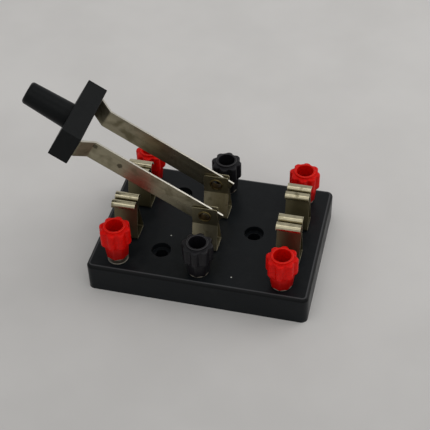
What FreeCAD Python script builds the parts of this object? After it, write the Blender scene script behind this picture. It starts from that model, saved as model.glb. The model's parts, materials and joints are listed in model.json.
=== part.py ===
import FreeCAD, Part
import math
import os
import Sketcher

# Double-pole double-throw knife switch on a moulded base.
# Frame: origin at the centre of the underside of the base, +Z up, +X along the
# long side of the base, millimetres.  The lever rests raised towards -X.

DRIVING = {
    # moulded base, open underneath
    "base_length": 105.0,
    "base_width": 75.0,
    "base_height": 15.0,
    "plate_thickness": 4.0,
    "wall_thickness": 3.0,
    "corner_radius": 3.0,
    "top_edge_radius": 1.7,
    "rib_thickness": 2.0,
    # three counterbored mounting holes, in a triangle
    "mount_radius": 3.0,
    "counterbore_radius": 4.7,
    "counterbore_depth": 3.0,
    "boss_radius": 7.0,
    "mount_pair_x": -20.5,
    "mount_pair_y": 20.0,
    "mount_single_x": 20.0,
    # places of the posts, jaws and hinge brackets
    "post_x": 38.9,
    "post_y": 29.0,
    "blade_y": 11.2,
    "hinge_x": -0.6,
    "shank_hole_radius": 2.1,
    # binding-post caps
    "cap_height": 17.9,
    "skirt_height": 7.4,
    "skirt_foot_radius": 4.95,
    "skirt_top_radius": 5.6,
    "head_radius": 6.05,
    "head_bevel": 0.8,
    "head_undercut": 1.5,
    "lobe_radius": 1.5,
    "lobe_tip_radius": 7.35,
    "lobe_count": 8,
    "skirt_rib_radius": 0.9,
    "skirt_rib_foot": 5.3,
    "skirt_rib_top": 6.0,
    "rim_height": 0.6,
    "rim_radius": 5.1,
    "rim_taper": 0.25,
    "socket_radius": 4.1,
    "socket_floor": 8.6,
    "bore_clearance": 0.25,
    "insert_radius": 4.0,
    "insert_length": 7.1,
    "insert_recess": 0.3,
    "thread_pitch": 1.0,
    "loose_cap_lift": 2.6,
    # studs, with a round seat that the cap clamps a wire against
    "seat_radius": 4.9,
    "seat_thickness": 0.5,
    "seat_chamfer": 0.2,
    "stud_radius": 2.95,
    "stud_length": 9.0,
    "stud_chamfer": 0.4,
    "stud_bore_radius": 2.0,
    "stud_bore_depth": 6.0,
    "thread_depth": 0.35,
    "thread_gap": 0.05,
    "shank_radius": 1.95,
    "shank_length": 10.0,
    # jaws and brackets, bent from strip
    "strip": 0.5,
    "clip_foot": 5.3,
    "foot_bend_radius": 0.6,
    "jaw_width": 11.3,
    "jaw_slot": 1.0,
    "waist_height": 18.0,
    "waist_bend_radius": 3.0,
    "lip_height": 20.8,
    "lip_radius": 2.3,
    "lip_end": 0.3,
    "short_jaw_drop": 1.2,
    "bracket_width": 12.0,
    "bracket_slot": 1.6,
    "bracket_bend_height": 13.8,
    "bracket_bend_radius": 1.2,
    "bracket_height": 23.5,
    "bracket_corner_radius": 1.0,
    # hinge
    "pivot_height": 18.8,
    "eyelet_radius": 2.6,
    "eyelet_bore_radius": 2.25,
    "eyelet_rim_radius": 3.2,
    "eyelet_rim_thickness": 0.55,
    "pivot_gap": 0.05,
    "seat_gap": 0.01,
    # lever
    "rest_angle": 30.3,
    "blade_thickness": 0.9,
    "blade_depth": 10.4,
    "blade_tail": 6.8,
    "joggle_start": 60.3,
    "joggle_end": 66.0,
    "joggle_offset": 4.1,
    "joggle_bend_radius": 1.5,
    "blade_end": 73.8,
    "bar_near": 66.5,
    "bar_thickness": 9.7,
    "bar_length": 37.3,
    "bar_depth": 17.6,
    "bar_edge_radius": 0.35,
    "slot_gap": 0.03,
    "handle_length": 21.5,
    "handle_root_radius": 6.15,
    "handle_tip_radius": 5.35,
    "handle_tip_round": 1.5,
    "tenon_radius": 4.0,
    "tenon_length": 4.0,
    "handle_screw_length": 14.0,
    # screws, nuts, spring washers and straps
    "head_radius_screw": 3.5,
    "head_height": 2.4,
    "driver_slot_width": 1.0,
    "driver_slot_depth": 1.1,
    "nut_corner_radius": 4.04,
    "nut_height": 3.2,
    "spring_washer_radius": 3.6,
    "spring_washer_thickness": 1.0,
    "strap_width": 8.0,
    "strap_thickness": 0.8,
}

doc = FreeCAD.newDocument("knife_switch")
sheet = doc.addObject("Spreadsheet::Sheet", "Dims")
for row, (alias, number) in enumerate(DRIVING.items(), start=1):
    sheet.set(f"A{row}", alias)
    sheet.set(f"B{row}", str(number))
    sheet.setAlias(f"B{row}", alias)
doc.recompute()

PARTS = []
SIDES = {"front": -1, "back": 1}
ENDS = {"left": -1, "middle": 0, "right": 1}
SHORT_JAWS = ("front_left", "back_right")


def size(alias):
    """Number in the cell with this alias."""
    return float(getattr(sheet, alias))


def cells(expression):
    """Expression text with every $name turned into a reference to its cell."""
    return expression.replace("$", "Dims.")


def bind(target, path, expression):
    target.setExpression(path, cells(expression))


def place(part, x="0", y="0", z="0", angle=None):
    """Put a sub-part at x, y, z, tilted about Y by the given expression."""
    if angle:
        part.Placement = FreeCAD.Placement(FreeCAD.Vector(), FreeCAD.Vector(0, 1, 0), 1)
        bind(part, "Placement.Rotation.Angle", angle)
    bind(part, "Placement.Base.x", x)
    bind(part, "Placement.Base.y", y)
    bind(part, "Placement.Base.z", z)


def new_body(label):
    body = doc.addObject("PartDesign::Body", label)
    body.Label = label
    PARTS.append(body)
    return body


def origin_feature(body, role):
    return next(item for item in body.Origin.OriginFeatures if item.Role == role)


def new_sketch(body, name, plane="XY_Plane", offset=None):
    """Empty sketch on one of the body's own origin planes, moved along its normal."""
    sketch = body.newObject("Sketcher::SketchObject", f"{body.Name}_{name}")
    sketch.AttachmentSupport = [(origin_feature(body, plane), "")]
    sketch.MapMode = "FlatFace"
    if offset:
        bind(sketch, "AttachmentOffset.Base.z", offset)
    return sketch


def fix_point(sketch, geometry, vertex, across, along):
    """Hold a point of the sketch at two expressions from the sketch's origin."""
    for kind, expression in (("DistanceX", across), ("DistanceY", along)):
        index = sketch.addConstraint(Sketcher.Constraint(kind, -1, 1, geometry, vertex, 1.0))
        bind(sketch, f"Constraints[{index}]", expression)


def add_polygon(sketch, corners):
    """Closed outline whose corners are pairs of expressions."""
    count = len(corners)
    first = sketch.GeometryCount
    turn = 2 * math.pi / count
    start = [FreeCAD.Vector(9 * math.cos(i * turn), 9 * math.sin(i * turn), 0) for i in range(count)]
    for i in range(count):
        sketch.addGeometry(Part.LineSegment(start[i], start[(i + 1) % count]), False)
    for i in range(count):
        following = first + (i + 1) % count
        sketch.addConstraint(Sketcher.Constraint("Coincident", first + i, 2, following, 1))
    for i, (across, along) in enumerate(corners):
        fix_point(sketch, first + i, 1, across, along)


def add_circle(sketch, across, along, radius):
    circle = Part.Circle(FreeCAD.Vector(1, 1, 0), FreeCAD.Vector(0, 0, 1), 1)
    geometry = sketch.addGeometry(circle, False)
    fix_point(sketch, geometry, 3, across, along)
    index = sketch.addConstraint(Sketcher.Constraint("Radius", geometry, 1.0))
    bind(sketch, f"Constraints[{index}]", radius)


def rectangle(half_across, half_along, across="0", along="0"):
    """Corner expressions of a rectangle centred at across, along."""
    signs = (("-", "-"), ("+", "-"), ("+", "+"), ("-", "+"))
    return [(f"{across} {a} ({half_across})", f"{along} {b} ({half_along})") for a, b in signs]


def feature(body, kind, name, sketch, **settings):
    """Sketch-based feature; settings given as text are bound as expressions."""
    item = body.newObject(f"PartDesign::{kind}", f"{body.Name}_{name}")
    item.Profile = sketch
    for key, value in settings.items():
        if key == "Length":
            bind(item, key, value)
        else:
            setattr(item, key, value)
    sketch.Visibility = False
    return item


def pad(body, name, sketch, length, **settings):
    return feature(body, "Pad", name, sketch, Length=length, **settings)


def pocket(body, name, sketch, length, **settings):
    """Cut that has to take material away."""
    doc.recompute()
    before = body.Shape.Volume
    item = feature(body, "Pocket", name, sketch, Length=length, **settings)
    doc.recompute()
    if body.Shape.Volume >= before:
        raise RuntimeError(f"{item.Name} cuts nothing")
    return item


def turned(body, kind, name, sketch, axis):
    """Full revolution of the sketch about one of its own axes."""
    return feature(body, kind, name, sketch, ReferenceAxis=(sketch, [axis]), Angle=360.0)


def edges_at(body, direction, points):
    """Names of the straight edges along direction that pass through the given points."""
    doc.recompute()
    names = []
    for number, edge in enumerate(body.Tip.Shape.Edges, start=1):
        if not isinstance(edge.Curve, Part.Line):
            continue
        if abs(abs(edge.Curve.Direction.dot(direction)) - 1) > 1e-6:
            continue
        if any(edge.distToShape(Part.Vertex(point))[0] < 0.02 for point in points):
            names.append(f"Edge{number}")
    if len(names) < len(points):
        raise RuntimeError(f"{body.Name}: {len(names)} edges found for {len(points)} points")
    return names


def round_edges(body, name, names, radius):
    """Fillet on the named edges of the body as it stands."""
    before = body.Tip
    item = body.newObject("PartDesign::Fillet", f"{body.Name}_{name}")
    item.Base = (before, names)
    bind(item, "Radius", radius)
    return item


def round_circle(body, name, circle_radius, radius):
    """Fillet on the circular edges of the given radius."""
    doc.recompute()
    names = [f"Edge{number}" for number, edge in enumerate(body.Tip.Shape.Edges, start=1)
             if isinstance(edge.Curve, Part.Circle)
             and abs(edge.Curve.Radius - size(circle_radius)) < 1e-6]
    return round_edges(body, name, names, radius)


def repeat_round(body, name, item, count):
    """Polar pattern of a feature about the body's Z axis."""
    pattern = body.newObject("PartDesign::PolarPattern", f"{body.Name}_{name}")
    pattern.Originals = [item]
    pattern.Axis = (origin_feature(body, "Z_Axis"), [""])
    pattern.Angle = 360.0
    pattern.Occurrences = int(size(count))
    body.Tip = pattern
    return pattern


# ---------------------------------------------------------------- base

def post_points():
    """Centres of the six binding posts, by name."""
    return {
        f"{side}_{end}": (f"{ENDS[end]} * $post_x", f"{SIDES[side]} * $post_y")
        for side in SIDES
        for end in ENDS
    }


def clip_points():
    """Centres of the four jaws and the two hinge brackets between them, by name."""
    return {
        f"{side}_{end}": (f"{ENDS[end]} * $post_x" if ENDS[end] else "$hinge_x",
                          f"{SIDES[side]} * $blade_y")
        for side in SIDES
        for end in ENDS
    }


def mount_points():
    return [
        ("$mount_pair_x", "-$mount_pair_y"),
        ("$mount_pair_x", "$mount_pair_y"),
        ("$mount_single_x", "0"),
    ]


def make_base():
    """Tray moulding: top plate, side walls, hollow screw bosses and three ribs."""
    body = new_body("base")
    outline = new_sketch(body, "outline")
    add_polygon(outline, rectangle("$base_length / 2", "$base_width / 2"))
    pad(body, "block", outline, "$base_height")

    half_length, half_width, height = (
        size("base_length") / 2, size("base_width") / 2, size("base_height"))
    upright = FreeCAD.Vector(0, 0, 1)
    corners = [FreeCAD.Vector(a * half_length, b * half_width, height / 2)
               for a in (-1, 1) for b in (-1, 1)]
    round_edges(body, "corners", edges_at(body, upright, corners), "$corner_radius")
    doc.recompute()
    top_face = max(body.Tip.Shape.Faces, key=lambda face: face.CenterOfMass.z)
    top_edges = [f"Edge{number}" for number, edge in enumerate(body.Tip.Shape.Edges, start=1)
                 if any(edge.isSame(other) for other in top_face.Edges)]
    round_edges(body, "top_edge", top_edges, "$top_edge_radius")

    hollow = new_sketch(body, "hollow")
    add_polygon(hollow, rectangle("$base_length / 2 - $wall_thickness",
                                  "$base_width / 2 - $wall_thickness"))
    pocket(body, "hollow_cut", hollow, "$base_height - $plate_thickness", Reversed=True)

    stiffeners = new_sketch(body, "stiffeners")
    for across in ("$mount_pair_x", "$mount_single_x"):
        add_polygon(stiffeners, rectangle("$rib_thickness / 2", "$base_width / 2 - 1", across))
    pad(body, "ribs", stiffeners, "$base_height - $plate_thickness / 2")
    spine = new_sketch(body, "spine")
    add_polygon(spine, rectangle("$base_length / 2 - 1", "$rib_thickness / 2"))
    pad(body, "centre_rib", spine, "$base_height - $plate_thickness / 2")
    bosses = new_sketch(body, "bosses")
    for across, along in mount_points():
        add_circle(bosses, across, along, "$boss_radius")
    pad(body, "boss_pads", bosses, "$base_height - $plate_thickness / 2")

    through = new_sketch(body, "through", offset="$base_height")
    for across, along in mount_points():
        add_circle(through, across, along, "$mount_radius")
    for across, along in list(post_points().values()) + list(clip_points().values()):
        add_circle(through, across, along, "$shank_hole_radius")
    pocket(body, "through_holes", through, "$base_height", Type="ThroughAll")
    counterbores = new_sketch(body, "counterbores", offset="$base_height")
    for across, along in mount_points():
        add_circle(counterbores, across, along, "$counterbore_radius")
    pocket(body, "counterbore_cuts", counterbores, "$counterbore_depth")


# ---------------------------------------------------------------- binding posts

def make_cap(label, x, y, lift):
    """Lobed screw cap: ribbed skirt, lobed head, raised rim round the plug hole."""
    body = new_body(label)
    profile = new_sketch(body, "profile", "XZ_Plane")
    shoulder = "$cap_height - $rim_height"
    add_polygon(profile, [
        ("0", "0"),
        ("$skirt_foot_radius", "0"),
        ("$skirt_top_radius", "$skirt_height"),
        ("$head_radius", "$skirt_height"),
        ("$head_radius", shoulder),
        ("$rim_radius", shoulder),
        ("$rim_radius - $rim_taper", "$cap_height"),
        ("0", "$cap_height"),
    ])
    turned(body, "Revolution", "core", profile, "V_Axis")

    ribs = new_sketch(body, "rib")
    add_circle(ribs, "$skirt_rib_top - $skirt_rib_radius", "0", "$skirt_rib_radius")
    rib = pad(body, "rib_pad", ribs, "$skirt_height")
    repeat_round(body, "ribs", rib, "lobe_count")
    lobes = new_sketch(body, "lobe", offset="$skirt_height")
    add_circle(lobes, "$lobe_tip_radius - $lobe_radius", "0", "$lobe_radius")
    lobe = pad(body, "lobe_pad", lobes, "$cap_height - $rim_height - $skirt_height")
    repeat_round(body, "lobes", lobe, "lobe_count")

    trim = new_sketch(body, "trim", "XZ_Plane")
    outside = "$lobe_tip_radius + 0.5"
    add_polygon(trim, [
        (outside, "$cap_height"),
        ("$rim_radius + $rim_taper", "$cap_height"),
        ("$rim_radius + $rim_taper", shoulder),
        ("$head_radius - $rim_taper", shoulder),
        (outside, f"{shoulder} - $head_bevel"),
    ])
    add_polygon(trim, [
        (outside, "-1"),
        ("$skirt_rib_foot", "-1"),
        ("$skirt_rib_foot", "0"),
        ("$skirt_rib_top", "$skirt_height"),
        (outside, "$skirt_height + $head_undercut"),
    ])
    turned(body, "Groove", "trim_cut", trim, "V_Axis")
    hollow_cap(body)
    place(body, x, y, f"$base_height + $seat_thickness + {lift}")


def hollow_cap(body):
    """Pocket for the brass insert, clearance bore for the stud and open plug socket."""
    hollow = new_sketch(body, "hollow", "XZ_Plane")
    pocket_radius = "$insert_radius + $seat_gap"
    pocket_top = "$insert_recess + $insert_length + $seat_gap"
    stud_radius = "$stud_radius + $bore_clearance"
    add_polygon(hollow, [
        ("0", "-1"),
        (pocket_radius, "-1"),
        (pocket_radius, pocket_top),
        (stud_radius, pocket_top),
        (stud_radius, "$socket_floor"),
        ("$socket_radius", "$socket_floor"),
        ("$socket_radius", "$cap_height + 1"),
        ("0", "$cap_height + 1"),
    ])
    turned(body, "Groove", "hollow_cut", hollow, "V_Axis")


def make_insert(label, x, y, lift):
    """Brass bush moulded into the cap, threaded on the stud."""
    outer = doc.addObject("Part::Cylinder", f"{label}_outer")
    bind(outer, "Radius", "$insert_radius")
    bind(outer, "Height", "$insert_length")
    bore = doc.addObject("Part::Cylinder", f"{label}_bore")
    bind(bore, "Radius", "$stud_radius + $thread_gap")
    bind(bore, "Height", "$insert_length + 2")
    bore.Placement.Base.z = -1
    bush = doc.addObject("Part::Cut", label)
    bush.Base = outer
    bush.Tool = bore
    bush.Label = label
    place(bush, x, y, f"$base_height + $seat_thickness + $insert_recess + {lift}")
    PARTS.append(bush)


def make_stud(label, x, y):
    """Post with a plain shank, a round seat and a threaded, hollow upper end."""
    body = new_body(label)
    profile = new_sketch(body, "profile", "XZ_Plane")
    top = "$seat_thickness + $stud_length"
    add_polygon(profile, [
        ("0", "-$shank_length"),
        ("$shank_radius", "-$shank_length"),
        ("$shank_radius", "0"),
        ("$seat_radius", "0"),
        ("$seat_radius", "$seat_thickness - $seat_chamfer"),
        ("$seat_radius - $seat_chamfer", "$seat_thickness"),
        ("$stud_radius", "$seat_thickness"),
        ("$stud_radius", f"{top} - $stud_chamfer"),
        ("$stud_radius - $stud_chamfer", top),
        ("$stud_bore_radius", top),
        ("$stud_bore_radius", f"{top} - $stud_bore_depth"),
        ("0", f"{top} - $stud_bore_depth - 1"),
    ])
    turned(body, "Revolution", "core", profile, "V_Axis")
    notch = new_sketch(body, "notch", "XZ_Plane")
    middle = "$seat_thickness + 0.75 * $thread_pitch"
    add_polygon(notch, [
        ("$stud_radius + 0.1", f"{middle} - 0.4 * $thread_pitch"),
        ("$stud_radius + 0.1", f"{middle} + 0.4 * $thread_pitch"),
        ("$stud_radius - $thread_depth", middle),
    ])
    groove = turned(body, "Groove", "thread_groove", notch, "V_Axis")
    thread = body.newObject("PartDesign::LinearPattern", f"{label}_thread")
    thread.Originals = [groove]
    thread.Direction = (origin_feature(body, "Z_Axis"), [""])
    turns = int(size("stud_length") / size("thread_pitch")) - 1
    thread.Occurrences = turns
    bind(thread, "Length", f"{turns - 1} * $thread_pitch")
    body.Tip = thread
    place(body, x, y, "$base_height")


# ---------------------------------------------------------------- jaws and brackets

def both_sides(half):
    """Whole outline from the half with positive first coordinates, foot to centre."""
    return half + [(f"-({across})", along) for across, along in reversed(half)]


def bend_leaves(body, bends):
    """Round the bends of both leaves; each bend is a name, its corners and a radius."""
    along = FreeCAD.Vector(1, 0, 0)
    for name, corners, radius in bends:
        points = [FreeCAD.Vector(0, side * across, up) for across, up in corners
                  for side in (-1, 1)]
        round_edges(body, name, edges_at(body, along, points), radius)


def foot_bends():
    foot, thick = size("clip_foot"), size("strip")
    return [
        ("foot_outside", [(foot, 0)], "$foot_bend_radius + $strip"),
        ("foot_inside", [(foot - thick, thick)], "$foot_bend_radius"),
    ]


def make_jaw(label, x, y, drop):
    """Two spring leaves that lean in to a slot and curl outward at the top.

    The leaves stand lower than the full height by the given drop.
    """
    body = new_body(label)
    profile = new_sketch(body, "profile", "YZ_Plane")
    slot_side = "$jaw_slot / 2"
    lip_far = f"{slot_side} + 2 * $lip_radius"
    lip_top = f"$lip_height + $lip_radius - {drop}"
    lip_end = f"$lip_height - $lip_end - {drop}"
    waist = f"$waist_height - {drop}"
    add_polygon(profile, both_sides([
        ("$clip_foot", "0"),
        (f"{slot_side} + $strip", waist),
        (f"{slot_side} + $strip", f"{lip_top} - $strip"),
        (f"{lip_far} - $strip", f"{lip_top} - $strip"),
        (f"{lip_far} - $strip", lip_end),
        (lip_far, lip_end),
        (lip_far, lip_top),
        (slot_side, lip_top),
        (slot_side, waist),
        ("$clip_foot - $strip", "$strip"),
    ]))
    pad(body, "strip_pad", profile, "$jaw_width", Midplane=True)
    slot, thick = size("jaw_slot") / 2, size("strip")
    lowered = size("short_jaw_drop") if drop == "$short_jaw_drop" else 0
    bend = size("waist_height") - lowered
    far = slot + 2 * size("lip_radius")
    top = size("lip_height") + size("lip_radius") - lowered
    bend_leaves(body, foot_bends() + [
        ("lip_outside", [(slot, top), (far, top)], "$lip_radius - 0.05"),
        ("lip_inside", [(slot + thick, top - thick), (far - thick, top - thick)],
         "$lip_radius - $strip - 0.05"),
        ("waist_outside", [(slot + thick, bend)], "$waist_bend_radius"),
        ("waist_inside", [(slot, bend)], "$waist_bend_radius + $strip"),
    ])
    clip_screw_hole(body)
    place(body, x, y, "$base_height")


def clip_screw_hole(body):
    hole = new_sketch(body, "screw_hole")
    add_circle(hole, "0", "0", "$shank_hole_radius")
    pocket(body, "screw_hole_cut", hole, "$strip + 1", Reversed=True)


def make_bracket(label, x, y):
    """Hinge bracket: the leaves lean in and stand upright round the pivot."""
    body = new_body(label)
    profile = new_sketch(body, "profile", "YZ_Plane")
    slot_side = "$bracket_slot / 2"
    add_polygon(profile, both_sides([
        ("$clip_foot", "0"),
        (f"{slot_side} + $strip", "$bracket_bend_height"),
        (f"{slot_side} + $strip", "$bracket_height"),
        (slot_side, "$bracket_height"),
        (slot_side, "$bracket_bend_height"),
        ("$clip_foot - $strip", "$strip"),
    ]))
    pad(body, "strip_pad", profile, "$bracket_width", Midplane=True)
    slot, thick = size("bracket_slot") / 2, size("strip")
    bend, top = size("bracket_bend_height"), size("bracket_height")
    bend_leaves(body, foot_bends() + [
        ("bend_outside", [(slot + thick, bend)], "$bracket_bend_radius"),
        ("bend_inside", [(slot, bend)], "$bracket_bend_radius + $strip"),
    ])
    across = FreeCAD.Vector(0, 1, 0)
    tops = [FreeCAD.Vector(end * size("bracket_width") / 2, side * (slot + thick / 2), top)
            for end in (-1, 1) for side in (-1, 1)]
    round_edges(body, "top_corners", edges_at(body, across, tops), "$bracket_corner_radius")
    clip_screw_hole(body)
    pivot = new_sketch(body, "pivot_hole", "XZ_Plane")
    add_circle(pivot, "0", "$pivot_height", "$eyelet_radius + $seat_gap")
    pocket(body, "pivot_cut", pivot, "$bracket_width", Type="ThroughAll", Midplane=True)
    place(body, x, y, "$base_height")


def make_eyelet(label, y):
    """Hollow rivet through both leaves and the blade, with a rolled rim at each end."""
    body = new_body(label)
    profile = new_sketch(body, "profile")
    grip = "$bracket_slot / 2 + $strip + $seat_gap"
    rim = f"{grip} + $eyelet_rim_thickness"
    half = [
        ("$eyelet_radius", grip),
        ("$eyelet_rim_radius - 0.15", grip),
        ("$eyelet_rim_radius", f"{grip} + 0.15"),
        ("$eyelet_rim_radius - 0.2", f"{rim} - 0.1"),
        ("$eyelet_rim_radius - 0.5", rim),
        ("$eyelet_bore_radius + 0.2", f"{rim} - 0.1"),
        ("$eyelet_bore_radius", f"{grip} - 0.25"),
    ]
    add_polygon(profile, half + [(across, f"-({along})") for across, along in reversed(half)])
    turned(body, "Revolution", "barrel", profile, "V_Axis")
    place(body, "$hinge_x", y, "$base_height + $pivot_height")


# ---------------------------------------------------------------- lever

def lever_place(part, y="0"):
    """Put a lever part on the hinge, raised to its resting angle."""
    place(part, "$hinge_x", y, "$base_height + $pivot_height", "$rest_angle")


def make_blade(label, side):
    """Flat blade with an outward joggle, its end set in the crossbar."""
    body = new_body(label)
    plan = new_sketch(body, "plan")
    half, far = "$blade_thickness / 2", "$joggle_offset"
    mitre = (f"{half} * tan(atan($joggle_offset / ($joggle_end - $joggle_start)) / 2)")
    add_polygon(plan, [
        ("$blade_tail", f"{side} * ({half})"),
        (f"-$joggle_start + {mitre}", f"{side} * ({half})"),
        (f"-$joggle_end + {mitre}", f"{side} * ({far} + {half})"),
        ("-$blade_end", f"{side} * ({far} + {half})"),
        ("-$blade_end", f"{side} * ({far} - {half})"),
        (f"-$joggle_end - {mitre}", f"{side} * ({far} - {half})"),
        (f"-$joggle_start - {mitre}", f"{side} * (-{half})"),
        ("$blade_tail", f"{side} * (-{half})"),
    ])
    pad(body, "strip_pad", plan, "$blade_depth", Midplane=True)
    doc.recompute()
    upright = FreeCAD.Vector(0, 0, 1)
    bends = [vertex.Point for vertex in body.Tip.Shape.Vertexes
             if size("joggle_start") - 1 < -vertex.X < size("joggle_start") + 1 and vertex.Z > 0]
    round_edges(body, "joggle_bends", edges_at(body, upright, bends), "$joggle_bend_radius")
    pivot = new_sketch(body, "pivot_hole", "XZ_Plane")
    add_circle(pivot, "0", "0", "$eyelet_radius + $pivot_gap")
    pocket(body, "pivot_cut", pivot, "$blade_depth", Type="ThroughAll", Midplane=True)
    lever_place(body, f"{side} * $blade_y")


def make_crossbar():
    """Insulating bar with a slot for each blade and a seat for the handle."""
    body = new_body("crossbar")
    plan = new_sketch(body, "plan")
    add_polygon(plan, rectangle("$bar_thickness / 2", "$bar_length / 2",
                                "-($bar_near + $bar_thickness / 2)"))
    pad(body, "block", plan, "$bar_depth", Midplane=True)
    doc.recompute()
    every_edge = [f"Edge{number}" for number in range(1, len(body.Tip.Shape.Edges) + 1)]
    round_edges(body, "edges", every_edge, "$bar_edge_radius")

    slots = new_sketch(body, "blade_slots")
    reach = "($blade_end + 0.1 - $bar_near) / 2 + 1"
    for side in SIDES.values():
        add_polygon(slots, rectangle(reach, "$blade_thickness / 2 + $slot_gap",
                                     f"-$bar_near + 2 - ({reach})",
                                     f"{side} * ($blade_y + $joggle_offset)"))
    pocket(body, "blade_slot_cuts", slots, "$blade_depth + 2 * $slot_gap", Midplane=True)

    bores = new_sketch(body, "handle_bore")
    far = "-($bar_near + $bar_thickness)"
    seat = f"{far} + $tenon_length + 0.1"
    near = "-$bar_near"
    add_polygon(bores, [
        (f"{far} - 1", "0"),
        (f"{far} - 1", "$tenon_radius + $seat_gap"),
        (seat, "$tenon_radius + $seat_gap"),
        (seat, "$shank_hole_radius"),
        (f"{near} - $head_height - 0.1", "$shank_hole_radius"),
        (f"{near} - $head_height - 0.1", "$head_radius_screw + 0.2"),
        (f"{near} + 1", "$head_radius_screw + 0.2"),
        (f"{near} + 1", "0"),
    ])
    turned(body, "Groove", "handle_bore_cut", bores, "H_Axis")
    lever_place(body)


def make_handle():
    """Tapered round grip with a tenon for the crossbar and a tapped core hole."""
    body = new_body("handle")
    profile = new_sketch(body, "profile")
    root = "-($bar_near + $bar_thickness)"
    tip = f"{root} - $handle_length"
    seat = f"{root} + $tenon_length"
    tap = "$shank_radius + $seat_gap"
    depth = f"{root} - $handle_screw_length + 3"
    add_polygon(profile, [
        (seat, tap),
        (seat, "$tenon_radius"),
        (root, "$tenon_radius"),
        (root, "$handle_root_radius"),
        (tip, "$handle_tip_radius"),
        (tip, "0"),
        (f"{depth} - 1", "0"),
        (depth, tap),
    ])
    turned(body, "Revolution", "grip", profile, "H_Axis")
    round_circle(body, "tip_edge", "handle_tip_radius", "$handle_tip_round")
    lever_place(body)


def make_handle_screw():
    body = new_body("handle_screw")
    profile = new_sketch(body, "profile")
    face = "-($bar_near + 0.05)"
    under = f"{face} - $head_height"
    add_polygon(profile, [
        (face, "0"),
        (face, "$head_radius_screw - 0.3"),
        (f"{face} - 0.3", "$head_radius_screw"),
        (under, "$head_radius_screw"),
        (under, "$shank_radius"),
        (f"{under} - $handle_screw_length", "$shank_radius"),
        (f"{under} - $handle_screw_length", "0"),
    ])
    turned(body, "Revolution", "screw", profile, "H_Axis")
    slot = new_sketch(body, "driver_slot")
    add_polygon(slot, rectangle("$driver_slot_depth", "$driver_slot_width / 2", face))
    pocket(body, "driver_slot_cut", slot, "$head_radius_screw * 3", Midplane=True)
    lever_place(body)


# ---------------------------------------------------------------- fasteners and straps

def make_strap(label, x, side, clip_shift):
    """Flat link under the plate, from a post to its jaw or bracket screw."""
    body = new_body(label)
    plan = new_sketch(body, "plan")
    add_polygon(plan, rectangle("$strap_width / 2", "($post_y - $blade_y) / 2 + $strap_width / 2",
                                "0", f"{side} * ($post_y + $blade_y) / 2"))
    pad(body, "strip_pad", plan, "$strap_thickness")
    holes = new_sketch(body, "holes", offset="$strap_thickness")
    add_circle(holes, "0", f"{side} * $post_y", "$shank_hole_radius")
    add_circle(holes, clip_shift, f"{side} * $blade_y", "$shank_hole_radius")
    pocket(body, "hole_cuts", holes, "$strap_thickness", Type="ThroughAll")
    place(body, x, "0", "$base_height - $plate_thickness - $strap_thickness")


def copies(label, template, points, z):
    """One node that holds a copy of the template at each point."""
    doc.recompute()
    group = doc.addObject("Part::Feature", label)
    group.Label = label
    shapes = []
    for x, y in points:
        shape = template.Shape.copy()
        shape.Placement = FreeCAD.Placement(FreeCAD.Vector(x, y, 0), FreeCAD.Rotation())
        shapes.append(shape)
    group.Shape = Part.makeCompound(shapes)
    group.Placement.Base.z = z
    PARTS.append(group)


def cut_shape(name, outer, inner):
    """The outer primitive with the inner one taken out of it."""
    cut = doc.addObject("Part::Cut", name)
    cut.Base = outer
    cut.Tool = inner
    return cut


def bore(name, radius):
    """Cylinder long enough to cut right through a nut or a washer."""
    hole = doc.addObject("Part::Cylinder", name)
    bind(hole, "Radius", radius)
    hole.Height = 20
    hole.Placement.Base.z = -10
    return hole


def nut_template():
    hexagon = doc.addObject("Part::Prism", "nut_hexagon")
    hexagon.Polygon = 6
    bind(hexagon, "Circumradius", "$nut_corner_radius")
    bind(hexagon, "Height", "$nut_height")
    return cut_shape("nut_shape", hexagon, bore("nut_bore", "$shank_radius + $thread_gap"))


def spring_washer_template():
    """Split ring: a flat washer with a slanted gap."""
    disc = doc.addObject("Part::Cylinder", "spring_disc")
    bind(disc, "Radius", "$spring_washer_radius")
    bind(disc, "Height", "$spring_washer_thickness")
    whole = cut_shape("spring_ring", disc, bore("spring_bore", "$shank_hole_radius"))
    gap = doc.addObject("Part::Box", "spring_gap")
    gap.Length = 10
    gap.Width = 0.8
    gap.Height = 10
    turn = FreeCAD.Rotation(FreeCAD.Vector(1, 0, 0), 25)
    gap.Placement = FreeCAD.Placement(FreeCAD.Vector(0, 0, -5), turn)
    return cut_shape("spring_shape", whole, gap)


def clip_screw_template():
    """Cheese-head screw, its underside at z = 0."""
    head = doc.addObject("Part::Cylinder", "clip_head")
    bind(head, "Radius", "$head_radius_screw")
    bind(head, "Height", "$head_height")
    shank = doc.addObject("Part::Cylinder", "clip_shank")
    bind(shank, "Radius", "$shank_radius")
    bind(shank, "Height", "$shank_length + $strip + 0.5")
    bind(shank, "Placement.Base.z", "-($shank_length + $strip)")
    whole = doc.addObject("Part::Fuse", "clip_screw_blank")
    whole.Base = head
    whole.Tool = shank
    slot = doc.addObject("Part::Box", "clip_slot")
    bind(slot, "Length", "$head_radius_screw * 4")
    bind(slot, "Width", "$driver_slot_width")
    slot.Height = 5
    bind(slot, "Placement.Base.x", "-$head_radius_screw * 2")
    bind(slot, "Placement.Base.y", "-$driver_slot_width / 2")
    bind(slot, "Placement.Base.z", "$head_height - $driver_slot_depth")
    return cut_shape("clip_screw_shape", whole, slot)


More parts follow.
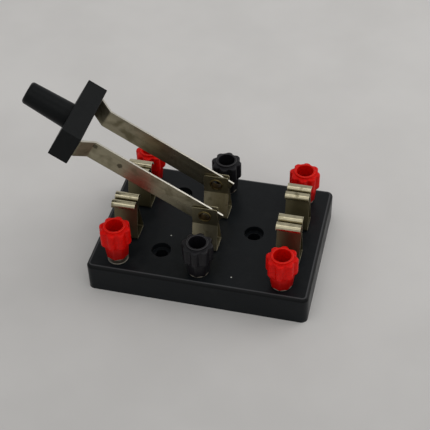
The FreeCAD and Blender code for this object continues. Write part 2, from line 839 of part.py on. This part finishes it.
def make_fasteners():
    posts = [(ENDS[end] * size("post_x"), SIDES[side] * size("post_y"))
             for side in SIDES for end in ENDS]
    clips = [(ENDS[end] * size("post_x") if ENDS[end] else size("hinge_x"),
              SIDES[side] * size("blade_y")) for side in SIDES for end in ENDS]
    under_strap = size("base_height") - size("plate_thickness") - size("strap_thickness")
    under_washer = under_strap - size("spring_washer_thickness")
    nut, washer = nut_template(), spring_washer_template()
    for kind, points in (("post", posts), ("clip", clips)):
        copies(f"{kind}_spring_washers", washer, points, under_washer)
        copies(f"{kind}_nuts", nut, points, under_washer - size("nut_height"))
    copies("clip_screws", clip_screw_template(), clips, size("base_height") + size("strip"))


# ---------------------------------------------------------------- build and write

def build():
    make_base()
    for name, (x, y) in post_points().items():
        lift = "$loose_cap_lift" if name == "front_left" else "0"
        make_cap(f"cap_{name}", x, y, lift)
        make_insert(f"cap_insert_{name}", x, y, lift)
        make_stud(f"post_stud_{name}", x, y)
    for name, (x, y) in clip_points().items():
        side, end = name.split("_")
        post_x = post_points()[name][0]
        if end == "middle":
            make_bracket(f"hinge_bracket_{side}", x, y)
        else:
            drop = "$short_jaw_drop" if name in SHORT_JAWS else "0"
            make_jaw(f"jaw_{name}", x, y, drop)
        make_strap(f"link_strap_{name}", post_x, SIDES[side], f"({x}) - ({post_x})")
    for side, sign in SIDES.items():
        make_eyelet(f"pivot_eyelet_{side}", f"{sign} * $blade_y")
        make_blade(f"blade_{side}", sign)
    make_crossbar()
    make_handle()
    make_handle_screw()
    make_fasteners()


def write_parts():
    doc.recompute()
    for item in doc.Objects:
        if "Invalid" in item.State or "Error" in item.State:
            raise RuntimeError(f"{item.Name}: {item.State}")
    os.makedirs("parts", exist_ok=True)
    for part in PARTS:
        shape = part.Shape
        if shape.isNull() or not shape.isValid():
            raise RuntimeError(f"{part.Label} has no valid shape")
        shape.exportStep(f"parts/{part.Label}.step")
        print(f"{part.Label}: {len(shape.Solids)} solid(s), {shape.Volume:.2f} mm3")


build()
write_parts()
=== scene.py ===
import json
import math
from itertools import groupby

import bpy
from mathutils import Matrix, Vector


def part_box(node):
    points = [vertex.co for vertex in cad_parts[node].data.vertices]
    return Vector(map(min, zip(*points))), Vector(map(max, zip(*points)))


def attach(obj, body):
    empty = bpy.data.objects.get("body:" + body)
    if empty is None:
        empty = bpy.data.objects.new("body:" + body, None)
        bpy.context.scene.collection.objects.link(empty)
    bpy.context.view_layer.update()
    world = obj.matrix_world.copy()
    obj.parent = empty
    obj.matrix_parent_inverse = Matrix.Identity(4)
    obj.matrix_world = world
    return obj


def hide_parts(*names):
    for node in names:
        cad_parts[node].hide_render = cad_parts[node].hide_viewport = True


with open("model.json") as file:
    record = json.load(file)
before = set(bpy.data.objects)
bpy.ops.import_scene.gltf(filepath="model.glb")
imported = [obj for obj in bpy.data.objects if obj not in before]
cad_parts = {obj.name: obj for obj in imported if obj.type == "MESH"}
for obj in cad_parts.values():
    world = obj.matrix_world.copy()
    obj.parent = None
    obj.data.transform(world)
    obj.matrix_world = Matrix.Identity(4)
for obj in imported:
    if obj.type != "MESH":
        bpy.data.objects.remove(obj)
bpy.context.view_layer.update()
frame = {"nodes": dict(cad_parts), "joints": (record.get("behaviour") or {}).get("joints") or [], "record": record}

# Knife switch on a moulded base: materials, refined caps, floor, light and camera.
# Everything is in metres, in the frame of the CAD part.

MM = 0.001
JOINTS = {joint["name"]: joint for joint in frame["joints"]}
PIVOT = Vector(JOINTS["lever_hinge"]["pos_m"])
LEVER_TILT = -math.radians(JOINTS["lever_hinge"]["range_deg"][0])
CAPS = sorted(name for name in frame["nodes"] if name.startswith("cap_") and "insert" not in name)

# camera at the viewing angle: its place in metres and the turns that aim it
CAMERA_PLACE = Vector((0.09131, -0.33807, 0.35819))
CAMERA_AZIMUTH = math.radians(14.96)
CAMERA_ELEVATION = math.radians(43.744)
CAMERA_ROLL = math.radians(-1.945)
CAMERA_LENS_MM = 85.17
SENSOR_MM = 36.0

# where the finishes change on the base, the clips, the eyelets and the lever, in millimetres
BASE_TOP_MM = 15.0
# the lip line and the bracket band also bound painted shade on the clips
LIP_LINE_MM = (34.6, 36.2)
BRACKET_REACH_MM = 20.0
BRACKET_BAND_MM = (28.4, 29.0)
BARREL_RADIUS_MM = 2.4
BLADE_SPREAD_MM = 11.2
BEND_START_MM = 59.3
BEND_FADE_MM = 1.5

# how the finishes are worn
BEVEL_SAMPLES = 6
BLOT_GRAIN_MM = 1.1
BLOT_RAGGED = 0.9
BLOT_FADE = 1.3
CRUMB_RADIUS_MM = 0.42
MASK_DULLING = 0.22
HAZE = (0.30, 0.30, 0.29)
DUST = (0.62, 0.62, 0.58)
CRUMB = (0.70, 0.71, 0.66)

# dimensions of the moulded caps, in millimetres
CAP_LOBES = 8
CAP_SAMPLES = 16 * CAP_LOBES
CAP_HEIGHT = 17.9
SKIRT_HEIGHT = 7.4
FOOT_RADIUS = 4.94
FOOT_RIB = 0.33
SKIRT_RADIUS = 5.58
RIB_DEPTH = 0.40
VALLEY_RADIUS = 6.05
LOBE_DEPTH = 1.3
RIM_RADIUS = 5.06
RIM_RISE = 1.07
HOLE_RADIUS = 4.1
INSERT_RADIUS = 4.01
INSERT_TOP = 7.41
STUD_RADIUS = 3.2
SOCKET_FLOOR = 8.6
EASED_CORNER = 0.05
BEND_STEPS = 4


# ---------------------------------------------------------------- node helpers

def join(tree, value, socket):
    """Link a node's output to a socket, or set a plain value on it."""
    if isinstance(value, bpy.types.NodeSocket):
        tree.links.new(value, socket)
    else:
        socket.default_value = value


class Look:
    """A material built round one Principled surface."""

    def __init__(self, name):
        self.material = bpy.data.materials.new(name)
        self.material.use_nodes = True
        self.tree = self.material.node_tree
        self.surface = self.tree.nodes["Principled BSDF"]
        self.place = self.node("TexCoord", output="Object")

    def node(self, kind, inputs=None, output=0, **settings):
        """Add a node, fill its inputs and return one of its outputs."""
        made = self.tree.nodes.new(f"ShaderNode{kind}")
        for key, value in settings.items():
            setattr(made, key, value)
        for key, value in (inputs or {}).items():
            join(self.tree, value, made.inputs[key])
        return made.outputs[output]

    def set(self, **values):
        """Set inputs of the surface: base_color stands for Base Color."""
        for key, value in values.items():
            join(self.tree, value, self.surface.inputs[key.replace("_", " ").title()])

    def math(self, operation, a, b=0.0):
        """Result of one arithmetic operation."""
        return self.node("Math", {0: a, 1: b}, operation=operation)

    def noise(self, grain_mm, detail=3.0, rough=0.55, place=None, distort=0.0):
        """Noise from 0 to 1 whose features are about grain_mm across."""
        inputs = {
            "Vector": place or self.place,
            "Scale": 1.0 / (grain_mm * MM),
            "Detail": detail,
            "Roughness": rough,
            "Distortion": distort,
        }
        return self.node("TexNoise", inputs)

    def spread(self, value, low, high, to_low=0.0, to_high=1.0):
        """Value stretched from low..high to to_low..to_high, and held inside."""
        inputs = {"Value": value, "From Min": low, "From Max": high,
                  "To Min": to_low, "To Max": to_high}
        return self.node("MapRange", inputs, interpolation_type="SMOOTHSTEP")

    def blend(self, share, first, second):
        """Colour between first and second."""
        made = self.tree.nodes.new("ShaderNodeMix")
        made.data_type = "RGBA"
        colour_sockets = [item for item in made.inputs if item.type == "RGBA"]
        join(self.tree, share, made.inputs[0])
        join(self.tree, first, colour_sockets[0])
        join(self.tree, second, colour_sockets[1])
        return next(item for item in made.outputs if item.type == "RGBA")

    def rounded(self, radius_mm):
        """Surface normal with every edge rounded off a little."""
        return self.node("Bevel", {"Radius": radius_mm * MM}, samples=BEVEL_SAMPLES)

    def level(self):
        """Height share of the surface normal: 1 on a level top, 0 on an upright side."""
        normal = self.node("NewGeometry", output="Normal")
        return self.node("SeparateXYZ", {"Vector": normal}, output="Z")

    def edges(self, radius_mm, low=0.02, high=0.25):
        """1 along the edges of the shape, 0 on its flats."""
        smooth = self.rounded(radius_mm)
        flat = self.node("NewGeometry", output="Normal")
        agree = self.node("VectorMath", {0: smooth, 1: flat}, output="Value", operation="DOT_PRODUCT")
        return self.spread(self.math("SUBTRACT", 1.0, agree), low, high)

    def turned_down(self, steep, slight):
        """1 where the surface tilts more than the slight pair and less than the steep pair."""
        level = self.level()
        return self.math("MULTIPLY", self.spread(level, *slight, 1.0, 0.0), self.spread(level, *steep))

    def bump(self, height, depth_mm, strength, normal=None):
        """Surface normal tilted by the slopes of a height that is depth_mm deep."""
        inputs = {"Height": height, "Distance": depth_mm * MM, "Strength": strength}
        if normal is not None:
            inputs["Normal"] = normal
        return self.node("Bump", inputs)

    def blot(self, centre, radius_mm):
        """1 round a point of the object, ragged at the edge, 0 away from it."""
        radius = radius_mm * MM
        gap = self.node("VectorMath", {0: self.place, 1: tuple(centre)}, output="Value",
                        operation="DISTANCE")
        ragged = self.math("MULTIPLY", self.noise(BLOT_GRAIN_MM, detail=4.0), BLOT_RAGGED * radius)
        return self.spread(self.math("ADD", gap, ragged), radius, BLOT_FADE * radius, 1.0, 0.0)

    def specks(self, cell_mm, speck_mm, share):
        """Small round specks, one in a share of the cells of a loose grid."""
        made = self.tree.nodes.new("ShaderNodeTexVoronoi")
        join(self.tree, self.place, made.inputs["Vector"])
        made.inputs["Scale"].default_value = 1.0 / (cell_mm * MM)
        near = self.math("LESS_THAN", made.outputs["Distance"], speck_mm / cell_mm / 2)
        pick = self.node("SeparateColor", {"Color": made.outputs["Color"]})
        return self.math("MULTIPLY", near, self.math("LESS_THAN", pick, share))


def colour(red, green, blue):
    """Opaque colour."""
    return (red, green, blue, 1.0)


def shade(tone, amount):
    """The same colour, brighter or darker."""
    return (tone[0] * amount, tone[1] * amount, tone[2] * amount, 1.0)


# ---------------------------------------------------------------- materials

def dust_and_painted_edge_light(look, surface, tone, wear_and_highlight):
    """The base's haze, dust specks, painted shade on its rounded edge and a painted highlight line above."""
    haze = look.spread(look.noise(7.0, detail=4.0), 0.45, 0.8, 0.0, 0.012)
    specks = look.specks(cell_mm=9.0, speck_mm=0.55, share=0.05)
    # painted shade: the lower part of the rounded edge made darker
    edge_band_of_painted_light = look.turned_down(steep=(0.05, 0.3), slight=(0.88, 0.95))
    # painted highlight: a thin light line where the rounded edge begins
    painted_highlight_line = look.turned_down(steep=(0.90, 0.965), slight=(0.994, 0.9996))
    surface = look.blend(haze, surface, colour(*HAZE))
    surface = look.blend(specks, surface, colour(*DUST))
    surface = look.blend(edge_band_of_painted_light, surface, shade(tone, 0.4))
    return look.blend(painted_highlight_line, surface, shade(wear_and_highlight, 1.7))


def cap_painted_shade_and_highlight(look, surface, painted_foot_shade_tone, wear_and_highlight):
    """Painted shade on a cap's foot, a painted highlight on its rim; heights are shares of the cap's own."""
    within = look.node("TexCoord", output="Generated")
    height = look.node("SeparateXYZ", {"Vector": within}, output="Z")
    # painted shade: the lower part of the cap made darker
    foot = look.spread(height, 0.16, 0.52, 1.0, 0.0)
    edge_band_of_painted_light = look.turned_down(steep=(0.25, 0.6), slight=(0.95, 0.995))
    # painted highlight: the rounded rim edge made lighter
    painted_rim_highlight = look.math("MULTIPLY", edge_band_of_painted_light, look.math("GREATER_THAN", height, 0.95))
    surface = look.blend(foot, surface, painted_foot_shade_tone)
    return look.blend(look.math("MULTIPLY", painted_rim_highlight, 0.7), surface, wear_and_highlight)


def moulded_plastic(name, tone, roughness, wear_and_highlight, grain_mm=0.3, grain_depth_mm=0.006,
                    dust_and_painted_edges=False, painted_foot_shade=None, translucent=0.0, edge_mm=0.35, sheen=0.1, crumbs=()):
    """Moulded plastic: fine grain, patchy sheen, edges rubbed lighter, and painted shade and highlights if asked.
    """
    look = Look(name)
    patches = look.noise(7.0, detail=4.0)
    mottle = look.noise(1.3, detail=4.0, rough=0.6)
    grain = look.noise(grain_mm, detail=2.0)
    shaded = look.blend(look.spread(mottle, 0.3, 0.7), shade(tone, 0.86), shade(tone, 1.12))
    edge = look.math("MULTIPLY", look.edges(edge_mm), look.spread(mottle, 0.25, 0.7, 0.35, 1.0))
    surface = look.blend(edge, shaded, wear_and_highlight)
    # dust, with painted shade and a painted highlight on the base's rounded edge
    if dust_and_painted_edges:
        surface = dust_and_painted_edge_light(look, surface, tone, wear_and_highlight)
    # painted shade on a cap's foot and a painted highlight on its rim
    if painted_foot_shade:
        surface = cap_painted_shade_and_highlight(look, surface, shade(tone, painted_foot_shade), wear_and_highlight)
    for centre in crumbs:
        surface = look.blend(look.blot(centre, CRUMB_RADIUS_MM), surface, colour(*CRUMB))
    look.set(
        base_color=surface,
        roughness=look.spread(patches, 0.3, 0.7, roughness - 0.06, roughness + 0.07),
        normal=look.bump(grain, grain_depth_mm, 0.5, look.rounded(edge_mm * 0.6)),
    )
    look.surface.inputs["Specular IOR Level"].default_value = sheen
    if translucent:
        look.surface.inputs["Subsurface Weight"].default_value = translucent
        look.surface.inputs["Subsurface Radius"].default_value = (1.0, 0.12, 0.06)
        look.surface.inputs["Subsurface Scale"].default_value = 1.2 * MM
    return look.material


def along(look, direction, stretch):
    """Object coordinates drawn out by stretch along a direction."""
    turn = Vector(direction).normalized().rotation_difference(Vector((1, 0, 0))).to_euler()
    turned = look.node("Mapping", {"Vector": look.place, "Rotation": turn})
    return look.node("Mapping", {"Vector": turned, "Scale": (1.0 / stretch, 1.0, 1.0)})


def tarnish_over(look, surface, tarnish, tarnish_and_painted_shade_cover, spotted, blots):
    """The metal under its cloudy tarnish with any painted shade, small spots and single blots."""
    surface = look.blend(tarnish_and_painted_shade_cover, surface, tarnish)
    if spotted:
        spots = look.spread(look.noise(2.4, detail=5.0, rough=0.65), 0.70 - 0.06 * spotted, 0.76)
        surface = look.blend(spots, surface, shade(tarnish, 0.4))
    for centre, radius_mm in blots:
        stain = look.math("MULTIPLY", look.blot(centre, radius_mm), 0.75)
        surface = look.blend(stain, surface, shade(tarnish, 0.22))
    return surface


def cut_across(look):
    """1 on the cut edges of a blade, 0 on its flat sides, which face along Y."""
    normal = look.node("NewGeometry", output="Normal")
    facing = look.math("ABSOLUTE", look.node("SeparateXYZ", {"Vector": normal}, output="Y"))
    return look.spread(facing, 0.3, 0.7, 1.0, 0.0)


def metal(name, tone, tarnish, roughness, grain=(1, 0, 0), stretch=12.0, tarnished=0.5,
          spotted=0.0, edge_mm=0.15, rubbed=None, blots=(), scratch_mm=0.0, masks=None, cut_edges=False):
    """Plated or bare metal: drawn-out polishing marks, cloudy tarnish, spots, bright edges."""
    look = Look(name)
    lined = along(look, grain, stretch)
    lines = look.noise(0.25, detail=2.0, place=lined)
    streaks = look.noise(2.0, detail=3.0, place=lined)
    clouds = look.noise(6.0, detail=3.0, rough=0.5, distort=0.3)
    tarnish_and_painted_shade_cover = look.spread(clouds, 0.62 - 0.3 * tarnished, 0.74, 0.0, 0.8)
    dull = look.spread(tarnish_and_painted_shade_cover, 0.0, 1.0, roughness, roughness + 0.10)
    # masks give tarnish and, on the clips, painted shade
    if masks:
        mask_tarnish_and_painted_shade, dulled = masks(look)
        tarnish_and_painted_shade_cover = look.math("MAXIMUM", tarnish_and_painted_shade_cover, mask_tarnish_and_painted_shade)
        dull = look.math("ADD", dull, look.math("MULTIPLY", dulled, MASK_DULLING))
    surface = look.blend(look.spread(streaks, 0.3, 0.7), shade(tone, 0.9), shade(tone, 1.08))
    surface = tarnish_over(look, surface, tarnish, tarnish_and_painted_shade_cover, spotted, blots)
    edge = look.edges(edge_mm)
    if cut_edges:
        edge = look.math("MAXIMUM", edge, cut_across(look))
    surface = look.blend(look.math("MULTIPLY", edge, 0.8), surface, rubbed or shade(tone, 1.35))
    look.set(
        base_color=surface,
        metallic=1.0,
        roughness=look.math("ADD", dull, look.spread(lines, 0.3, 0.7, -0.03, 0.04)),
        normal=look.bump(lines, scratch_mm, 0.3, look.rounded(edge_mm)),
    )
    return look.material


def lever_direction():
    """Unit vector along the lever at rest, from the pivot to the handle."""
    return Vector((-math.cos(LEVER_TILT), 0.0, math.sin(LEVER_TILT)))


def clip_masks(look):
    """Tarnished and dulled shares: painted shade on jaw leaves under their lips, and whole brackets."""
    place = look.tree.nodes.new("ShaderNodeSeparateXYZ")
    join(look.tree, look.place, place.inputs["Vector"])
    along_base = look.math("ABSOLUTE", place.outputs["X"])
    lip_bottom, lip_top = LIP_LINE_MM
    # painted shade: the jaw leaves below their lips made darker, the lips left bright
    low = look.spread(place.outputs["Z"], lip_bottom * MM, lip_top * MM, 0.95, 0.0)
    outer = look.math("GREATER_THAN", along_base, BRACKET_REACH_MM * MM)
    inner = look.math("SUBTRACT", 1.0, outer)
    leaf_painted_shade = look.math("MULTIPLY", low, outer)
    band_bottom, band_top = BRACKET_BAND_MM
    # brackets: tarnish and painted shade, lighter below the band as a painted floor reflection
    bracket_tarnish_and_painted_shade = look.spread(place.outputs["Z"], band_bottom * MM, band_top * MM, 0.4, 0.7)
    tarnished = look.math("ADD", leaf_painted_shade, look.math("MULTIPLY", inner, bracket_tarnish_and_painted_shade))
    dulled = look.math("MULTIPLY", look.math("ADD", inner, leaf_painted_shade), 1.1)
    return tarnished, dulled


def barrel_masks(look):
    """Tarnished and dulled shares: both 1 inside the hollow of a pivot eyelet."""
    gap = look.node("VectorMath", {0: look.place, 1: tuple(PIVOT)}, operation="SUBTRACT")
    flat = look.node("VectorMath", {0: gap, 1: (1.0, 0.0, 1.0)}, operation="MULTIPLY")
    radius = look.node("VectorMath", {0: flat}, output="Value", operation="LENGTH")
    inside = look.math("LESS_THAN", radius, BARREL_RADIUS_MM * MM)
    return inside, inside


def joggle_masks(look):
    """Tarnished and dulled shares: no more tarnish, but duller from the outward bend on."""
    gap = look.node("VectorMath", {0: look.place, 1: tuple(PIVOT)}, operation="SUBTRACT")
    reach = look.node("VectorMath", {0: gap, 1: tuple(lever_direction())}, output="Value",
                      operation="DOT_PRODUCT")
    bent = look.spread(reach, BEND_START_MM * MM, (BEND_START_MM + BEND_FADE_MM) * MM)
    return 0.0, bent


def on_blade(side, out_mm, up_mm):
    """Point on a blade, out_mm from the pivot and up_mm above its middle."""
    across = Vector((math.sin(LEVER_TILT), 0.0, math.cos(LEVER_TILT)))
    start = PIVOT + Vector((0.0, side * BLADE_SPREAD_MM * MM, 0.0))
    return start + (lever_direction() * out_mm + across * up_mm) * MM


def make_materials():
    """One material for each material slot of the record."""
    nickel = colour(0.44, 0.40, 0.28)
    nickel_tarnish_and_shade = colour(0.155, 0.137, 0.078)
    brass = colour(0.55, 0.41, 0.17)
    lever = tuple(lever_direction())
    return {
        "base_moulding": moulded_plastic(
            "base_plastic", colour(0.0053, 0.0069, 0.0084), 0.38, colour(0.030, 0.031, 0.033),
            grain_mm=0.45, dust_and_painted_edges=True, edge_mm=0.3, sheen=0.15, crumbs=(
                Vector((-18.4, -9.8, BASE_TOP_MM)) * MM, Vector((15.7, -30.2, BASE_TOP_MM)) * MM)),
        "bar_moulding": moulded_plastic(
            "crossbar_plastic", colour(0.0065, 0.0075, 0.008), 0.46, colour(0.020, 0.020, 0.021)),
        "grip_moulding": moulded_plastic(
            "grip_plastic", colour(0.0055, 0.0065, 0.007), 0.36, colour(0.018, 0.019, 0.019)),
        "cap_red": moulded_plastic(
            "red_cap_plastic", colour(0.62, 0.003, 0.001), 0.40, colour(0.78, 0.035, 0.02),
            grain_mm=0.25, grain_depth_mm=0.003, translucent=0.10, sheen=0.12, painted_foot_shade=0.5),
        "cap_black": moulded_plastic(
            "black_cap_plastic", colour(0.009, 0.0085, 0.0105), 0.36, colour(0.065, 0.062, 0.065),
            grain_mm=0.25, sheen=0.18, painted_foot_shade=0.9),
        "plated_clip": metal(
            "clip_nickel", shade(nickel, 1.1), nickel_tarnish_and_shade, 0.15, grain=(0, 0, 1), tarnished=0.35,
            masks=clip_masks),
        "plated_blade": metal(
            "blade_nickel", shade(nickel, 0.72), shade(nickel_tarnish_and_shade, 0.9), 0.30, grain=lever,
            stretch=20.0, tarnished=0.5, spotted=0.8, rubbed=colour(0.50, 0.48, 0.44),
            scratch_mm=0.0012, cut_edges=True, masks=joggle_masks,
            blots=((on_blade(-1, 45.4, 0.0), 2.0), (on_blade(-1, 59.5, 3.0), 1.9))),
        "plated_post": metal(
            "post_nickel", colour(0.22, 0.20, 0.17), colour(0.15, 0.135, 0.105), 0.46,
            stretch=1.0, tarnished=0.6),
        "eyelet_brass": metal(
            "eyelet_brass", colour(0.13, 0.10, 0.04), colour(0.035, 0.022, 0.008), 0.42,
            stretch=1.0, tarnished=0.5, rubbed=colour(0.42, 0.35, 0.16), masks=barrel_masks),
        "insert_brass": metal("insert_brass", brass, shade(brass, 0.5), 0.30, stretch=1.0),
        "strap_brass": metal("strap_brass", brass, shade(brass, 0.5), 0.32, grain=(0, 1, 0)),
        "fastener_steel": metal(
            "fastener_steel", colour(0.50, 0.50, 0.49), colour(0.26, 0.25, 0.22), 0.32,
            stretch=1.0, tarnished=0.3),
    }


# ---------------------------------------------------------------- caps

def plain(radius, height):
    """Round profile entry, with neither lobes nor ribs."""
    return (radius, 0.0, 0.0, height)


def bend(start, corner, end):
    """Profile entries along a smooth bend from start to end that leans towards a corner."""
    shares = [step / BEND_STEPS for step in range(BEND_STEPS + 1)]
    return [tuple((1 - t) ** 2 * a + 2 * t * (1 - t) * b + t ** 2 * c
                  for a, b, c in zip(start, corner, end)) for t in shares]


def cap_outside():
    """Outer profile from foot to rim: valley radius, lobe depth, rib depth, height."""
    shelf = CAP_HEIGHT - RIM_RISE
    slope = ((SKIRT_RADIUS + VALLEY_RADIUS) / 2, LOBE_DEPTH / 2, RIB_DEPTH / 2, SKIRT_HEIGHT + 0.38)
    return [
        plain(INSERT_RADIUS + 0.15, 0.0),
        *bend((FOOT_RADIUS - 0.3, 0.0, 0.2, 0.0),
              (FOOT_RADIUS, 0.0, FOOT_RIB, 0.0),
              (FOOT_RADIUS, 0.0, FOOT_RIB, 0.35)),
        *bend((SKIRT_RADIUS, 0.0, RIB_DEPTH, SKIRT_HEIGHT - 0.35),
              (SKIRT_RADIUS, 0.0, RIB_DEPTH, SKIRT_HEIGHT),
              slope),
        *bend(slope,
              (VALLEY_RADIUS, LOBE_DEPTH, 0.0, SKIRT_HEIGHT + 1.0),
              (VALLEY_RADIUS, LOBE_DEPTH, 0.0, SKIRT_HEIGHT + 1.6)),
        *bend((VALLEY_RADIUS, LOBE_DEPTH, 0.0, shelf - 0.85),
              (VALLEY_RADIUS, LOBE_DEPTH, 0.0, shelf),
              (VALLEY_RADIUS - 0.46, 0.42, 0.0, shelf)),
        *bend((RIM_RADIUS + 0.2, 0.1, 0.0, shelf),
              plain(RIM_RADIUS, shelf),
              plain(RIM_RADIUS, shelf + 0.2)),
    ]


def cap_inside():
    """Profile over the rim, down the plug hole and the stud bore, to the foot."""
    top = CAP_HEIGHT
    return [
        *bend(plain(RIM_RADIUS, top - 0.26), plain(RIM_RADIUS, top), plain(RIM_RADIUS - 0.4, top)),
        *bend(plain(HOLE_RADIUS + 0.28, top), plain(HOLE_RADIUS, top), plain(HOLE_RADIUS, top - 0.3)),
        *bend(plain(HOLE_RADIUS, SOCKET_FLOOR + 0.2),
              plain(HOLE_RADIUS, SOCKET_FLOOR),
              plain(HOLE_RADIUS - 0.2, SOCKET_FLOOR)),
        plain(STUD_RADIUS + EASED_CORNER, SOCKET_FLOOR),
        plain(STUD_RADIUS, SOCKET_FLOOR - EASED_CORNER),
        plain(STUD_RADIUS, INSERT_TOP + EASED_CORNER),
        plain(STUD_RADIUS + EASED_CORNER, INSERT_TOP),
        plain(INSERT_RADIUS - EASED_CORNER, INSERT_TOP),
        plain(INSERT_RADIUS, INSERT_TOP - EASED_CORNER),
        plain(INSERT_RADIUS, 0.15),
    ]


def cap_point(entry, angle):
    """Point of the cap at one profile entry and angle: broad lobes above, thin ribs below."""
    valley, lobe, rib, height = entry
    wave = math.cos(CAP_LOBES * angle)
    broad = 1.0 - (0.5 - 0.5 * wave) ** 1.6
    narrow = (0.5 + 0.5 * wave) ** 1.5
    radius = valley + lobe * broad + rib * narrow
    return Vector((radius * math.cos(angle), radius * math.sin(angle), height)) * MM


def make_cap(name, material):
    """Smooth moulded cap in place of the plain one, turning with the same body."""
    low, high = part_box(name)
    foot = Vector(((low.x + high.x) / 2, (low.y + high.y) / 2, low.z))
    profile = [entry for entry, _ in groupby(cap_outside() + cap_inside())]
    turns = [2 * math.pi * step / CAP_SAMPLES for step in range(CAP_SAMPLES)]
    points = [foot + cap_point(entry, angle) for entry in profile for angle in turns]
    faces = []
    for ring in range(len(profile)):
        above = (ring + 1) % len(profile)
        for step in range(CAP_SAMPLES):
            beside = (step + 1) % CAP_SAMPLES
            faces.append((ring * CAP_SAMPLES + step, ring * CAP_SAMPLES + beside,
                          above * CAP_SAMPLES + beside, above * CAP_SAMPLES + step))
    mesh = bpy.data.meshes.new(name + "_moulded")
    mesh.from_pydata(points, [], faces)
    mesh.polygons.foreach_set("use_smooth", [True] * len(faces))
    mesh.materials.append(material)
    cap = bpy.data.objects.new(name + "_moulded", mesh)
    bpy.context.scene.collection.objects.link(cap)
    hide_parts(name)
    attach(cap, name.replace("cap_", "cap_body_"))


def slot_of(node):
    """Material slot that the record gives a node."""
    return next(part["material_slot"] for part in frame["record"]["subparts"]
                if part["node"] == node)


def dress_cad_nodes(materials):
    """Give every CAD node the material of its slot."""
    for part in frame["record"]["subparts"]:
        node = frame["nodes"][part["node"]]
        node.data.materials.clear()
        node.data.materials.append(materials[part["material_slot"]])


# ---------------------------------------------------------------- floor, light, camera

def make_floor():
    """Plain pale floor, a sheet far larger than the view."""
    half = 2.5
    mesh = bpy.data.meshes.new("floor")
    corners = [(-half, -half, 0), (half, -half, 0), (half, half, 0), (-half, half, 0)]
    mesh.from_pydata(corners, [], [(0, 1, 2, 3)])
    mesh.materials.append(floor_cloth())
    floor = bpy.data.objects.new("floor", mesh)
    bpy.context.scene.collection.objects.link(floor)


def floor_cloth():
    """Pale cloth with faint folds and a fine weave, darker towards the camera as painted shade."""
    look = Look("floor_cloth")
    weave = look.noise(0.9, detail=3.0)
    folds = look.noise(60.0, detail=3.0)
    tone = look.blend(look.spread(folds, 0.3, 0.7), colour(0.64, 0.63, 0.62), colour(0.68, 0.67, 0.66))
    across = look.node("SeparateXYZ", {"Vector": look.place}, output="Y")
    # painted shade: the cloth made darker towards the camera
    painted_falloff_shade = look.spread(across, -0.16, 0.10, 0.22, 0.0)
    tone = look.blend(painted_falloff_shade, tone, colour(0.20, 0.20, 0.20))
    look.set(
        base_color=tone,
        roughness=0.9,
        normal=look.bump(weave, 0.03, 0.3, look.bump(folds, 1.5, 0.12)),
    )
    look.surface.inputs["Specular IOR Level"].default_value = 0.2
    return look.material


def area_light(name, place, aim, width, depth, power, tint):
    """Rectangular lamp at a place, turned to face its aim."""
    light = bpy.data.lights.new(name, "AREA")
    light.shape = "RECTANGLE"
    light.size = width
    light.size_y = depth
    light.energy = power
    light.color = tint
    lamp = bpy.data.objects.new(name, light)
    lamp.location = place
    lamp.rotation_euler = (Vector(aim) - Vector(place)).to_track_quat("-Z", "Y").to_euler()
    bpy.context.scene.collection.objects.link(lamp)


def make_lights():
    """Two soft panels above, a pale window low at the back right and a dim room."""
    centre = (0.0, 0.0, 0.02)
    area_light("front_panel", (0.40, -0.85, 1.05), centre, 1.6, 0.5, 1.5, (1.0, 0.98, 0.94))
    area_light("overhead_panel", (0.10, -0.10, 1.25), centre, 2.0, 0.4, 2.2, (1.0, 0.99, 0.97))
    area_light("side_window", (1.04, 0.72, 0.80), centre, 0.95, 0.50, 3.9, (1.0, 0.99, 0.97))
    world = bpy.data.worlds.new("room")
    world.use_nodes = True
    background = world.node_tree.nodes["Background"]
    background.inputs["Color"].default_value = colour(1.0, 0.995, 0.985)
    background.inputs["Strength"].default_value = 0.54
    bpy.context.scene.world = world
    bpy.context.scene.view_settings.view_transform = "Standard"


def make_camera():
    """Camera at the viewing angle, made the active one."""
    camera = bpy.data.objects.new("camera", bpy.data.cameras.new("camera"))
    camera.data.sensor_width = SENSOR_MM
    camera.data.lens = CAMERA_LENS_MM
    camera.data.clip_start = 0.01
    camera.data.clip_end = 20.0
    turn = Matrix.Rotation(CAMERA_AZIMUTH, 4, "Z")
    tilt = Matrix.Rotation(math.pi / 2 - CAMERA_ELEVATION, 4, "X")
    roll = Matrix.Rotation(CAMERA_ROLL, 4, "Z")
    camera.matrix_world = Matrix.Translation(CAMERA_PLACE) @ turn @ tilt @ roll
    bpy.context.scene.collection.objects.link(camera)
    bpy.context.scene.camera = camera


materials = make_materials()
dress_cad_nodes(materials)
for cap_name in CAPS:
    make_cap(cap_name, materials[slot_of(cap_name)])
make_floor()
make_lights()
make_camera()
